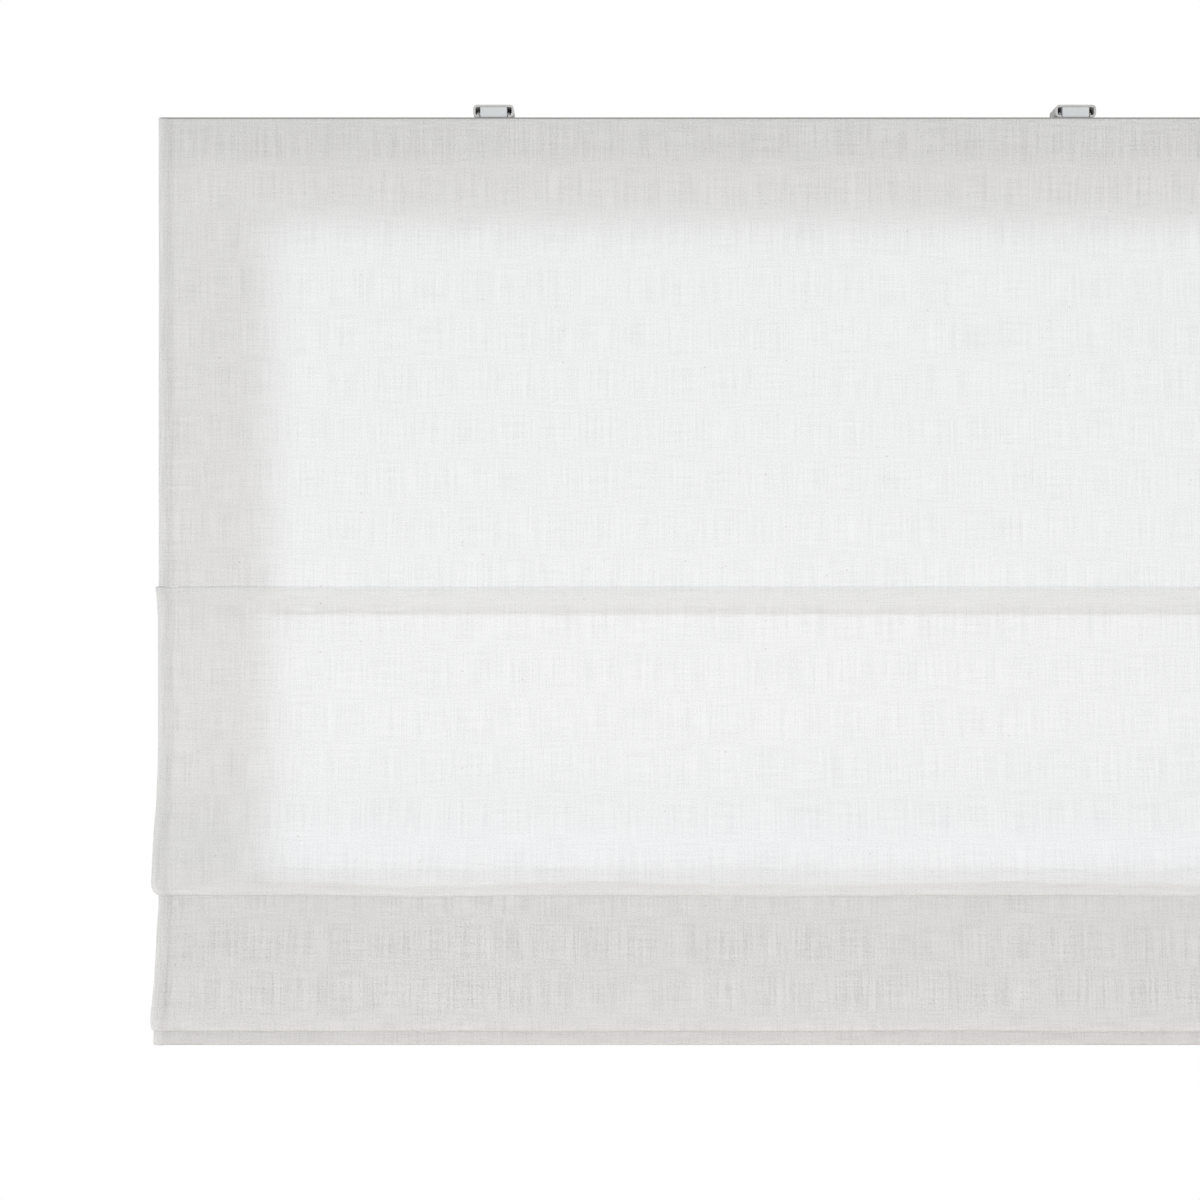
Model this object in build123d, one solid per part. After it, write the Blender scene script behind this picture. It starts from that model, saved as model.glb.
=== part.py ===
from build123d import *
from math import atan2, cos, hypot, sin
import os

# Sizes in mm. X runs along the width, the room is on the -Y side, and Z points up.
# The wall plane is Y = 0. The origin is midway between the four wall screws.

# Blind
blind_width = 1000.0
visible_drop = 740.0
first_seam_drop = 374.7
front_fold_drop = 618.6
loop_drop = 725.8
side_gap = 2.0

# Brackets
bracket_spacing = 465.0
bracket_width = 32.4
bracket_height = 10.0
bracket_top = 27.0
bracket_depth = 30.0
bracket_sheet = 1.7
bracket_radius = 3.2
bracket_lip = 3.2
bracket_back_height = 44.0
screw_radius = 2.3
wall_screw_spacing = 16.0
top_screw_x = 8.5
top_screw_y = -7.0

# Bracket latch
tab_width = 21.6
tab_clearance = 0.25
latch_travel = 3.2
latch_back_y = -14.0
hook_width = 12.0
hook_grip = 3.0
spring_sheet = 0.4
spring_width = 7.0

# Headrail
rail_depth = 28.0
rail_height = 38.0
rail_wall = 1.2
rail_lip = 5.0
rail_back_y = -3.0
rail_drop = 0.3
cap_thickness = 2.0
cap_plug = 8.0

# Tapes and cloth
tape_height = 25.0
tape_inset = 17.0
hook_tape = 1.0
loop_tape = 1.0
cloth = 0.5
tuck_depth = 22.4

# Winding gear
shaft_flat = 6.0
shaft_end_inset = 60.0
cord_inset = 118.0
spool_core_radius = 7.0
spool_radius = 8.0
spool_flange_radius = 10.4
spool_length = 26.0
spool_flange = 1.6
running_gap = 0.2
journal_radius = 4.6
cradle_wall = 2.0
cradle_gap = 0.25
drum_radius = 4.4
drum_flange_radius = 7.6
drum_width = 14.0
drum_flange = 1.2
drum_pitch = 16.0
ribbon = 0.5
housing_wall = 1.6
housing_length = 34.0
cord_hole_radius = 1.5

# Rods and guides
rod_radius = 1.25
rod_clearance = 0.1
rod_shortfall = 14.0
guide_width = 9.0
guide_height = 3.8
guide_pitch = 4.0
guide_wall = 1.2
guide_eye_radius = 1.6
guide_notch = 13.0
rod_y = -30.0
gathered_drop = 596.0
seam_step = 3.6
front_fold_depth = 8.0
loop_belly = (6.6, 3.0, 0.9)
loop_depth = (6.0, 4.7, 4.0)

# Bottom bar
bar_height = 20.0
bar_thickness = 4.0
bar_clearance = 0.3
bar_cap = 3.0

rail_top = bracket_top - bracket_height - rail_drop
rail_front_y = rail_back_y - rail_depth
shaft_y = rail_back_y - rail_depth / 2
shaft_z = rail_top - rail_height + rail_wall + spool_flange_radius + 1.6
storage_z = shaft_z + drum_pitch
cord_y = shaft_y - spool_radius
cord_x = blind_width / 2 - cord_inset
cloth_y = rail_front_y - hook_tape - loop_tape - cloth / 2
cloth_top = rail_top - 0.8
rail_length = blind_width - 2 * side_gap
rod_length = blind_width - rod_shortfall


def block(x0, x1, y0, y1, z0, z1):
    """A box between two corners."""
    size = (abs(x1 - x0), abs(y1 - y0), abs(z1 - z0))
    return Pos((x0 + x1) / 2, (y0 + y1) / 2, (z0 + z1) / 2) * Box(*size)


def along_x(face, x0, x1):
    """A face drawn in the YZ plane, extruded from x0 to x1."""
    return Pos(x0, 0, 0) * extrude(face, amount=x1 - x0, dir=(1, 0, 0))


def yz(*points):
    """A filled outline through (y, z) points, facing +X."""
    corners = [(0, y, z) for y, z in points]
    face = Face(Wire.make_polygon(corners))
    return face if face.normal_at().X > 0 else -face


def yz_rect(y0, y1, z0, z1):
    return yz((y0, z0), (y1, z0), (y1, z1), (y0, z1))


def yz_disc(y, z, radius):
    return Face(Wire.make_circle(radius, Plane(origin=(0, y, z), z_dir=(1, 0, 0))))


def tube_x(y, z, radius, x0, x1):
    """A round bar along X."""
    return along_x(yz_disc(y, z, radius), x0, x1)


def rounded_slab(y, z, thickness, height, x0, x1):
    """A flat bar along X with full round top and bottom edges."""
    r = thickness / 2
    face = yz_rect(y - r, y + r, z - height / 2 + r, z + height / 2 - r)
    face += yz_disc(y, z - height / 2 + r, r)
    face += yz_disc(y, z + height / 2 - r, r)
    return along_x(face, x0, x1)


def bracket_section():
    """The rounded C of the bracket, seen from the front."""
    half = bracket_width / 2
    inner = half - bracket_sheet
    with BuildSketch(Plane.XZ) as section:
        with Locations((0, -bracket_height / 2)):
            RectangleRounded(bracket_width, bracket_height, bracket_radius)
        with Locations((0, -bracket_height / 2)):
            RectangleRounded(
                2 * inner,
                bracket_height - 2 * bracket_sheet,
                bracket_radius - bracket_sheet,
                mode=Mode.SUBTRACT,
            )
        with Locations((0, -bracket_height)):
            Rectangle(2 * (inner - bracket_lip), 4 * bracket_sheet, mode=Mode.SUBTRACT)
    return section.sketch


def bracket(side):
    """Pressed steel channel with a wall plate and the fixed hooks for the rail's back lip."""
    half = bracket_width / 2
    body = Pos(0, 0, bracket_top) * extrude(bracket_section(), amount=bracket_depth)
    low = bracket_top - bracket_back_height
    body += block(-half, half, 0, -bracket_sheet, bracket_top - bracket_radius, low)
    body += block(bracket_radius - half, half - bracket_radius, 0, -bracket_sheet, bracket_top, low)
    hook_y = rail_back_y - rail_wall - rail_lip - 1.2
    foot = rail_top - rail_wall - tab_clearance
    channel_low = bracket_top - bracket_height + 0.5
    for hand in (-1, 1):
        inner = hand * (half - bracket_sheet - bracket_lip)
        outer = hand * (half - bracket_radius)
        body += block(inner, outer, hook_y, hook_y - bracket_sheet, channel_low, foot - 1.5)
        body += block(inner, outer, hook_y, hook_y + 4.0, foot, foot - 1.5)
    for dz in (-wall_screw_spacing / 2, wall_screw_spacing / 2):
        body -= Pos(0, 0, dz) * Rot(90, 0, 0) * Cylinder(screw_radius, 10)
    body -= Pos(side * top_screw_x, top_screw_y, bracket_top) * Cylinder(screw_radius, 4 * bracket_sheet)
    return Pos(side * bracket_spacing / 2, 0, 0) * body


def latch(x):
    """Plastic slider: the tab in the bracket's mouth, side wings and the hook for the front lip."""
    half = tab_width / 2
    top = bracket_top - bracket_sheet - tab_clearance
    channel_low = bracket_top - bracket_height
    lip_top = channel_low + bracket_sheet
    body = block(-half, half, -bracket_depth, latch_back_y, top, channel_low + 0.2)
    body = fillet(body.edges().filter_by(Axis.Z).group_by(Axis.Y)[0], 1.0)
    wing = bracket_width / 2 - bracket_radius - tab_clearance
    wing_front = -bracket_depth + 5.0
    body += block(-wing, wing, wing_front, latch_back_y, lip_top + 2.6, lip_top + tab_clearance)
    lip_edge = rail_front_y + rail_wall + rail_lip
    neck = lip_edge + 1.2
    under = rail_top - rail_wall - tab_clearance
    front = lip_edge - hook_grip
    hook = yz(
        (neck + 4.0, channel_low + 1.0),
        (neck + 4.0, under - 3.0),
        (front + 2.0, under - 3.0),
        (front, under - 1.0),
        (front, under),
        (neck, under),
        (neck, channel_low + 1.0),
    )
    body += along_x(hook, -hook_width / 2, hook_width / 2)
    return Pos(x, 0, 0) * body


def latch_spring(x):
    """Bent steel leaf between the latch and the wall plate."""
    top = bracket_top - bracket_sheet - 3.5
    bottom = bracket_top - bracket_height + bracket_sheet + 0.3
    start = -bracket_sheet - 0.05
    end = latch_back_y + 0.05
    count = 6
    reach = start - end - spring_sheet
    path = []
    for i in range(count + 1):
        path.append((start - spring_sheet / 2 - i * reach / count, top if i % 2 else bottom))
    return Pos(x, 0, 0) * along_x(strip(path, spring_sheet), -spring_width / 2, spring_width / 2)


def rail_section():
    """The headrail's extruded profile, open between two lips at the top."""
    back = rail_back_y
    front = rail_front_y
    bottom = rail_top - rail_height
    mouth = rail_wall + rail_lip
    face = yz_rect(back, front, rail_top, bottom)
    face -= yz_rect(back - rail_wall, front + rail_wall, rail_top - rail_wall, bottom + rail_wall)
    face -= yz_rect(back - mouth, front + mouth, rail_top + 1, rail_top - 2 * rail_wall)
    return face


def headrail():
    rail = along_x(rail_section(), -rail_length / 2, rail_length / 2)
    for x in (-cord_x, cord_x):
        rail -= Pos(x, cord_y, rail_top - rail_height) * Cylinder(cord_hole_radius + 1.6, 4 * rail_wall)
    return rail


def end_cap(side):
    """Moulded plug with a flat outside face, pushed into the rail's end."""
    end = side * rail_length / 2
    bottom = rail_top - rail_height
    gap = 0.15
    inner = (rail_back_y - rail_wall - gap, rail_front_y + rail_wall + gap)
    floor = bottom + rail_wall + gap
    cap = block(end, end + side * (cap_thickness - 0.4), rail_back_y, rail_front_y, rail_top, bottom)
    plug = block(end, end - side * cap_plug, *inner, rail_top - rail_wall - gap, floor)
    wall = 1.6
    plug -= block(
        end - side * 0.1,
        end - side * (cap_plug + 1),
        inner[0] - wall,
        inner[1] + wall,
        rail_top - rail_wall - gap - wall,
        floor + wall,
    )
    return cap + plug


def cord_outlet(x):
    """Flanged eyelet in the rail's floor for the lift cord."""
    floor = rail_top - rail_height
    ring = Pos(x, cord_y, floor + rail_wall / 2) * Cylinder(cord_hole_radius + 1.5, rail_wall)
    ring += Pos(x, cord_y, floor - 0.5) * Cylinder(cord_hole_radius + 3.0, 1.0)
    ring -= Pos(x, cord_y, floor) * Cylinder(cord_hole_radius, 6)
    return ring


def drive_shaft():
    """Square steel shaft through both spools and the spring unit."""
    half = shaft_flat / 2
    end = blind_width / 2 - shaft_end_inset
    return block(-end, end, shaft_y - half, shaft_y + half, shaft_z - half, shaft_z + half)


def square_hole(x0, x1):
    half = shaft_flat / 2 + 0.02
    return block(x0, x1, shaft_y - half, shaft_y + half, shaft_z - half, shaft_z + half)


def cord_spool(x):
    """Winding spool with a short bearing journal at each end."""
    half = spool_length / 2
    body = tube_x(shaft_y, shaft_z, spool_core_radius, x - half, x + half)
    for side in (-1, 1):
        edge = x + side * half
        body += tube_x(shaft_y, shaft_z, spool_flange_radius, *sorted((edge, edge - side * spool_flange)))
        journal = side * (cradle_wall + cradle_gap + 1.0)
        body += tube_x(shaft_y, shaft_z, journal_radius, *sorted((edge, edge + journal)))
    return body - square_hole(x - 2 * half, x + 2 * half)


def spool_cradle(x):
    """Moulded cradle on the rail's floor, with an open bearing slot at each end."""
    half = spool_length / 2 + cradle_gap
    out = half + cradle_wall
    floor = rail_top - rail_height + rail_wall
    back = rail_back_y - rail_wall - cradle_gap
    front = rail_front_y + rail_wall + cradle_gap
    top = rail_top - rail_wall - 3.0
    body = block(x - out, x + out, back, front, floor, floor + 1.2)
    for side in (-1, 1):
        inner = x + side * half
        body += block(inner, inner + side * cradle_wall, back, front, floor, top)
    bearing = journal_radius + 0.05
    body -= tube_x(shaft_y, shaft_z, bearing, x - 2 * out, x + 2 * out)
    body -= block(x - 2 * out, x + 2 * out, shaft_y - bearing, shaft_y + bearing, shaft_z, top + 1)
    body -= Pos(x, cord_y, floor) * Cylinder(cord_hole_radius + 1.0, 6)
    return body


def drum(z, bore, length):
    """One drum of the spring unit, with a journal at each end."""
    half = drum_width / 2
    body = tube_x(shaft_y, z, drum_radius, -half, half)
    for side in (-1, 1):
        edge = side * half
        body += tube_x(shaft_y, z, drum_flange_radius, *sorted((edge, edge - side * drum_flange)))
        body += tube_x(shaft_y, z, journal_radius - 0.4, *sorted((edge, side * length / 2)))
    if bore:
        body -= square_hole(-length, length)
    return body


def spring_housing():
    """Moulded box around both drums, open at the top."""
    half = housing_length / 2
    floor = rail_top - rail_height + rail_wall
    back = rail_back_y - rail_wall - cradle_gap
    front = rail_front_y + rail_wall + cradle_gap
    top = rail_top - rail_wall - cradle_gap
    body = block(-half, half, back, front, floor, top)
    body -= block(
        -half + housing_wall,
        half - housing_wall,
        back - housing_wall,
        front + housing_wall,
        floor + 0.8,
        top + 1,
    )
    bearing = journal_radius - 0.35
    for z in (shaft_z, storage_z):
        body -= tube_x(shaft_y, z, bearing, -2 * half, 2 * half)
    slot_top = storage_z
    body -= block(-2 * half, 2 * half, shaft_y - bearing, shaft_y + bearing, slot_top, top + 1)
    return body


def flat_spring():
    """Steel ribbon wound on the storage drum, crossing over to the output drum."""
    half = drum_width / 2 - drum_flange - 0.3
    store = yz_disc(shaft_y, storage_z, drum_radius + 2.6) - yz_disc(shaft_y, storage_z, drum_radius + 0.1)
    out = yz_disc(shaft_y, shaft_z, drum_radius + 0.9) - yz_disc(shaft_y, shaft_z, drum_radius + 0.1)
    top = (shaft_y - drum_radius - 2.2, storage_z)
    low = (shaft_y + drum_radius + 0.5, shaft_z)
    lean = atan2(low[0] - top[0], top[1] - low[1])
    dy = ribbon / 2 * cos(lean)
    dz = ribbon / 2 * sin(lean)
    strap = yz(
        (top[0] - dy, top[1] - dz),
        (top[0] + dy, top[1] + dz),
        (low[0] + dy, low[1] + dz),
        (low[0] - dy, low[1] - dz),
    )
    for z in (shaft_z, storage_z):
        strap -= yz_disc(shaft_y, z, drum_radius + 0.1)
    return along_x(store + out + strap, -half, half)


def rod_place(number):
    """(y, z) of a rod's centre at rest: the first hangs below its seam, the others are gathered."""
    if number == 1:
        return rod_y, rail_top - first_seam_drop - tuck_depth + cloth + rod_clearance + rod_radius
    return rod_y, rail_top - gathered_drop - (number - 2) * guide_pitch


def seam_place(number):
    """(y, z) of the stitch line that closes a rod's tuck, at rest."""
    y, z = rod_place(number)
    if number == 1:
        return cloth_y, rail_top - first_seam_drop
    return y - tuck_depth + cloth + (number - 2) * seam_step, z


def rod(number):
    y, z = rod_place(number)
    return tube_x(y, z, rod_radius, -rod_length / 2, rod_length / 2)


def cord_guides(number):
    """Two clips on a rod, each with an upright eye for the lift cord."""
    y, z = rod_place(number)
    low = z - guide_height / 2
    high = z + guide_height / 2
    eye_back = cord_y + guide_eye_radius + guide_wall
    parts = []
    for x in (-cord_x, cord_x):
        body = block(x - guide_width / 2, x + guide_width / 2, y - 0.6 * rod_radius, eye_back, low, high)
        body = fillet(body.edges().filter_by(Axis.Z).group_by(Axis.Y)[-1], 2.0)
        body -= tube_x(y, z, rod_radius, x - guide_width, x + guide_width)
        body -= Pos(x, cord_y, z) * Cylinder(guide_eye_radius, 2 * guide_height)
        parts.append(body)
    return Compound(children=parts)


def strip(path, thickness=cloth):
    """A strip of even thickness along (y, z) points, with round corners and square ends."""
    pieces = []
    for (y0, z0), (y1, z1) in zip(path, path[1:]):
        length = hypot(y1 - y0, z1 - z0)
        ny = (z1 - z0) / length * thickness / 2
        nz = -(y1 - y0) / length * thickness / 2
        pieces.append(yz((y0 + ny, z0 + nz), (y1 + ny, z1 + nz), (y1 - ny, z1 - nz), (y0 - ny, z0 - nz)))
    for y, z in path[1:-1]:
        pieces.append(yz_disc(y, z, thickness / 2))
    return joined(pieces)


def joined(faces):
    """Overlapping faces as one."""
    first, *rest = faces
    return first.fuse(*rest).clean() if rest else first


def turn(y_front, y_back, z):
    """The rounded bottom of a fold between two legs."""
    middle = (y_front + y_back) / 2
    radius = abs(y_back - y_front) / 2
    ring = yz_disc(middle, z, radius + cloth / 2) - yz_disc(middle, z, radius - cloth / 2)
    return ring - yz_rect(middle - 3 * radius, middle + 3 * radius, z, z + 3 * radius)


def tuck(number):
    """The stitched pocket around a rod: two layers from the seam, opening round the rod."""
    y, z = rod_place(number)
    inner = rod_radius + rod_clearance
    sleeve = yz_disc(y, z, inner + cloth)
    layers = strip([seam_place(number), (y, z)], 2 * cloth)
    return joined([sleeve, layers]) - yz_disc(y, z, inner)


def hem_pocket(y, bottom):
    """The bottom hem around the bottom bar, as a flat loop."""
    half = bar_thickness / 2 + bar_clearance
    low = bottom + cloth
    high = low + bar_height + 2 * bar_clearance
    outer = yz_rect(y - half - cloth, y + half + cloth, bottom, high + cloth)
    return outer - yz_rect(y - half, y + half, low, high)


def fold_bottom(number):
    """(front y, back y, z) where the round bottom of a fold begins. The hanging loops end level."""
    if number == 1:
        back = seam_place(2)[0] - 1.0
        return back - front_fold_depth, back, rail_top - front_fold_drop + front_fold_depth / 2
    front = seam_place(number)[0] - loop_belly[number - 2]
    back = front + loop_depth[number - 2]
    return front, back, rail_top - loop_drop + (back - front) / 2


def front_leg(number):
    """(y, z) points from a seam down the front of its fold."""
    seam_y, seam_z = seam_place(number)
    front, back, bottom = fold_bottom(number)
    if number == 1:
        steps = ((0.05, 0.04), (0.14, 0.47), (0.5, 0.715), (0.84, 0.835), (1.0, 0.93))
        drop = seam_z - bottom
        return [(seam_y + part * (front - seam_y), seam_z - fall * drop) for part, fall in steps]
    start = seam_y + 0.7
    return [(start, seam_z - 3.0), (start, seam_z - 40.0), (front, bottom + 13.0)]


def back_leg(number):
    """(y, z) points from the bottom of a fold up its back to the next seam."""
    next_y, next_z = seam_place(number + 1)
    front, back, bottom = fold_bottom(number)
    if number == 1:
        return [(back, next_z - 3.0)]
    return [(back, bottom + 13.0), (next_y - 0.7, next_z - 40.0), (next_y - 0.7, next_z - 3.0)]


def fold(number):
    """The cloth from one seam down to the fold's round bottom and up to the next seam."""
    front, back, bottom = fold_bottom(number)
    return [
        strip([seam_place(number), *front_leg(number), (front, bottom)]),
        strip([(back, bottom), *back_leg(number), seam_place(number + 1)]),
        turn(front, back, bottom),
    ]


def fabric():
    """The whole cloth: top panel, hanging folds, stitched rod tucks and bottom hem."""
    seam_y, seam_z = seam_place(1)
    faces = [yz_rect(cloth_y - cloth / 2, cloth_y + cloth / 2, cloth_top, seam_z)]
    for number in range(1, 5):
        faces += fold(number)
    for number in range(1, 6):
        faces.append(tuck(number))
    hem_z = rail_top - visible_drop
    skirt_top = hem_z + cloth + bar_height
    last = seam_place(5)
    faces.append(strip([last, (skirt_y(), last[1] - 3.0), (skirt_y(), skirt_top)]))
    faces.append(hem_pocket(bar_place()[0], hem_z))
    cloth_body = along_x(joined(faces), -blind_width / 2, blind_width / 2)
    for number in range(1, 6):
        cloth_body -= guide_notches(number)
    return cloth_body


def guide_notches(number):
    """The two openings in a tuck where the cord guides clip on the rod."""
    y, z = rod_place(number)
    reach = rod_radius + rod_clearance + cloth + 0.05
    half = guide_notch / 2
    back = y + 2 * reach
    return [block(x - half, x + half, y - reach, back, z - reach, z + reach) for x in (-cord_x, cord_x)]


def bottom_bar():
    y, z = bar_place()
    end = rod_length / 2 - bar_cap
    return rounded_slab(y, z, bar_thickness, bar_height, -end, end)


def skirt_y():
    """Y of the last cloth section, which hangs from the fifth seam."""
    return seam_place(5)[0] + 0.7


def bar_place():
    """(y, z) of the bottom bar's centre at rest, behind the last section's cloth."""
    bottom = rail_top - visible_drop + cloth + bar_clearance
    return skirt_y() + cloth / 2 + bar_clearance + bar_thickness / 2, bottom + bar_height / 2


def bottom_bar_cap(side):
    y, z = bar_place()
    end = side * rod_length / 2
    x0, x1 = sorted((end - side * bar_cap, end))
    return rounded_slab(y, z, bar_thickness, bar_height, x0, x1)


def rail_tape(y, thickness):
    """A strip of fastening tape along the rail's front face."""
    half = blind_width / 2 - tape_inset
    return block(-half, half, y, y - thickness, rail_top - 1.5, rail_top - 1.5 - tape_height)


def lift_bodies():
    parts = {}
    for number in range(1, 6):
        parts[f"rod_{number}"] = rod(number)
        parts[f"rod_{number}_cord_guides"] = cord_guides(number)
    return parts


def mirrored_parts():
    parts = {}
    for name, side in (("left", -1), ("right", 1)):
        bracket_x = side * bracket_spacing / 2
        parts[f"bracket_{name}"] = bracket(side)
        parts[f"bracket_latch_{name}"] = latch(bracket_x)
        parts[f"latch_spring_{name}"] = latch_spring(bracket_x)
        parts[f"end_cap_{name}"] = end_cap(side)
        parts[f"cord_outlet_{name}"] = cord_outlet(side * cord_x)
        parts[f"cord_spool_{name}"] = cord_spool(side * cord_x)
        parts[f"spool_cradle_{name}"] = spool_cradle(side * cord_x)
        parts[f"bottom_bar_cap_{name}"] = bottom_bar_cap(side)
    return parts


def all_parts():
    parts = mirrored_parts()
    parts.update(lift_bodies())
    parts["headrail"] = headrail()
    parts["rail_hook_tape"] = rail_tape(rail_front_y, hook_tape)
    parts["fabric_loop_tape"] = rail_tape(rail_front_y - hook_tape, loop_tape)
    parts["drive_shaft"] = drive_shaft()
    parts["spring_output_drum"] = drum(shaft_z, True, housing_length)
    parts["spring_storage_drum"] = drum(storage_z, False, housing_length)
    parts["spring_housing"] = spring_housing()
    parts["flat_spring"] = flat_spring()
    parts["fabric"] = fabric()
    parts["bottom_bar"] = bottom_bar()
    return parts


def main():
    os.makedirs("parts", exist_ok=True)
    for name, part in all_parts().items():
        export_step(part, f"parts/{name}.step")


main()
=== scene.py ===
import math

import bmesh
import bpy
from mathutils import Matrix, Vector, geometry, noise


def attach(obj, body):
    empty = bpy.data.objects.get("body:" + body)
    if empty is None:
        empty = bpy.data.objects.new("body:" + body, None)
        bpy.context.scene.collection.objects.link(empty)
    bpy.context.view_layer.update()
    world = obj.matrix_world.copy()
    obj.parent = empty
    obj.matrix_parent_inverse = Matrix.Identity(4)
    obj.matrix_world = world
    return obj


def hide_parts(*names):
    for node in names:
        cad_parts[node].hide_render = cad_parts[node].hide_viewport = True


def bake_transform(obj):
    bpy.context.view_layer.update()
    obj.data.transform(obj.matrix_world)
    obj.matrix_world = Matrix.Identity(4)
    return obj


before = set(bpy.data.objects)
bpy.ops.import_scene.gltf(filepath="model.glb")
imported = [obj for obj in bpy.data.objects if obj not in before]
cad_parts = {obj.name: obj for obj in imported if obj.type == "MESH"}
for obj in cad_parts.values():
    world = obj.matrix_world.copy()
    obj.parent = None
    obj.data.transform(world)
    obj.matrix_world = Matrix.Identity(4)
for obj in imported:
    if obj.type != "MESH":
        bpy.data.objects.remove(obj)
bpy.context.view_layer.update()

print("roman blind: frame loaded,", len(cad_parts), "nodes")


# camera, lamps, floor

view = {
    "clothPlane": -0.03325,
    "across": 0.9567,         # metres of cloth plane across the picture
    "centre": (-0.1475, -0.3685),
    "distance": 2.2,
}

studio = {
    "ambient": 0.50,
    "keyPower": 41.0,
    "keySize": 2.4,
    "keyPlace": (-1.3, -3.3, -1.0),
    "fillPower": 38.2,
    "fillPlace": (1.6, -3.2, -1.0),
    "lowPower": 5.6,
    "lowSize": 0.8,
    "lowPlace": (-0.2, -1.5, -1.08),
    "aim": (0.0, -0.04, -0.35),
    "floorPlace": (0.0, -0.3, -1.70),
    "floorSize": 5.0,
    "floorColour": (0.80, 0.755, 0.70),
}

windowGlow = {                # soft daylight behind the cloth, inside the window opening
    "across": 0.823,
    "top": -0.068,
    "bottom": -0.577,
    "depth": 0.030,
    "power": 0.65,
    "spread": 54.0,
    "skyTop": -0.453,         # and a low band of it that falls at a slope behind the front fold
    "skyBottom": -0.475,
    "skySlope": 56.0,
    "skySpread": 24.0,
    "skyPower": 0.052,
    "colour": (0.87, 0.915, 1.0),
}

sillBounce = {                # warm light thrown back up from below the hem
    "place": (0.0, -0.30, -1.05),
    "across": 1.1,
    "deep": 0.35,
    "power": 0.20,
    "colour": (1.0, 0.42, 0.14),
}


def placeCamera():
    data = bpy.data.cameras.new("photoCamera")
    camera = bpy.data.objects.new("photoCamera", data)
    bpy.context.scene.collection.objects.link(camera)
    camera.location = (view["centre"][0], view["clothPlane"] - view["distance"], view["centre"][1])
    camera.rotation_euler = (math.radians(90), 0, 0)
    data.lens = data.sensor_width * view["distance"] / view["across"]
    bpy.context.scene.camera = camera


def areaLamp(name, power, place, target, width, height):
    data = bpy.data.lights.new(name, "AREA")
    data.shape = "RECTANGLE"
    data.size = width
    data.size_y = height
    data.energy = power
    lamp = bpy.data.objects.new(name, data)
    bpy.context.scene.collection.objects.link(lamp)
    lamp.location = place
    lamp.rotation_euler = (Vector(target) - Vector(place)).to_track_quat("-Z", "Y").to_euler()
    lamp.visible_camera = False
    return lamp


def glowLamp(name, power, low, high, slope, spread):
    # a strip of window light behind the cloth, between two heights, falling forwards at a slope
    place = (0.0, windowGlow["depth"], (low + high) / 2)
    target = (0.0, place[1] - math.cos(slope), place[2] - math.sin(slope))
    lamp = areaLamp(name, power, place, target, windowGlow["across"], (high - low) * math.cos(slope))
    lamp.data.spread = math.radians(spread)
    lamp.data.color = windowGlow["colour"]
    return lamp


def lightStudio():
    lamps = []
    for name, size in (("key", "keySize"), ("fill", "keySize"), ("low", "lowSize")):
        lamps.append(areaLamp(name + "Lamp", studio[name + "Power"], studio[name + "Place"], studio["aim"],
                              studio[size], studio[size]))
    lamps.append(glowLamp("windowGlow", windowGlow["power"], windowGlow["bottom"], windowGlow["top"], 0.0,
                          windowGlow["spread"]))
    lamps.append(glowLamp("skyGlow", windowGlow["skyPower"], windowGlow["skyBottom"], windowGlow["skyTop"],
                          math.radians(windowGlow["skySlope"]), windowGlow["skySpread"]))
    place = sillBounce["place"]
    sill = areaLamp("sillBounce", sillBounce["power"], place, (place[0], place[1], 0.0), sillBounce["across"],
                    sillBounce["deep"])
    sill.data.color = sillBounce["colour"]
    lamps.append(sill)
    for lamp in lamps:
        lamp.visible_glossy = lamp.name == "keyLamp"


# shader helpers

usualNoise = (0.3, 0.7)       # noise mostly stays between these


def addNode(tree, kind, **fields):
    node = tree.nodes.new(kind)
    node.location = (220 * (len(tree.nodes) % 9), -180 * (len(tree.nodes) // 9))
    for field, value in fields.items():
        setattr(node, field, value)
    return node


def mathNode(tree, operation, first, second=None):
    node = addNode(tree, "ShaderNodeMath", operation=operation)
    for socket, value in zip(node.inputs, (first, second)):
        if value is None:
            continue
        if isinstance(value, (int, float)):
            socket.default_value = value
        else:
            tree.links.new(value, socket)
    return node.outputs[0]


def plus(tree, first, second):
    return mathNode(tree, "ADD", first, second)


def minus(tree, first, second):
    return mathNode(tree, "SUBTRACT", first, second)


def times(tree, first, second):
    return mathNode(tree, "MULTIPLY", first, second)


def rangeNode(tree, value, low, high, start, end):
    node = addNode(tree, "ShaderNodeMapRange", interpolation_type="SMOOTHSTEP")
    tree.links.new(value, node.inputs["Value"])
    for socket, limit in (("From Min", low), ("From Max", high), ("To Min", start), ("To Max", end)):
        node.inputs[socket].default_value = limit
    return node.outputs["Result"]


def stretchedNoise(tree, vector, scale, detail=2.0, roughness=0.5):
    spread = addNode(tree, "ShaderNodeMapping")
    spread.inputs["Scale"].default_value = scale
    tree.links.new(vector, spread.inputs["Vector"])
    grain = addNode(tree, "ShaderNodeTexNoise")
    grain.inputs["Scale"].default_value = 1.0
    grain.inputs["Detail"].default_value = detail
    grain.inputs["Roughness"].default_value = roughness
    tree.links.new(spread.outputs[0], grain.inputs["Vector"])
    return grain.outputs["Fac"]


def objectPlace(tree):
    return addNode(tree, "ShaderNodeTexCoord").outputs["Object"]


def mixColours(tree, mask, first, second):
    node = addNode(tree, "ShaderNodeMix", data_type="RGBA")
    for socket, value in ((node.inputs["Factor"], mask), (node.inputs["A"], first), (node.inputs["B"], second)):
        if isinstance(value, tuple):
            socket.default_value = (*value, 1.0)
        else:
            tree.links.new(value, socket)
    return node.outputs["Result"]


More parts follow.
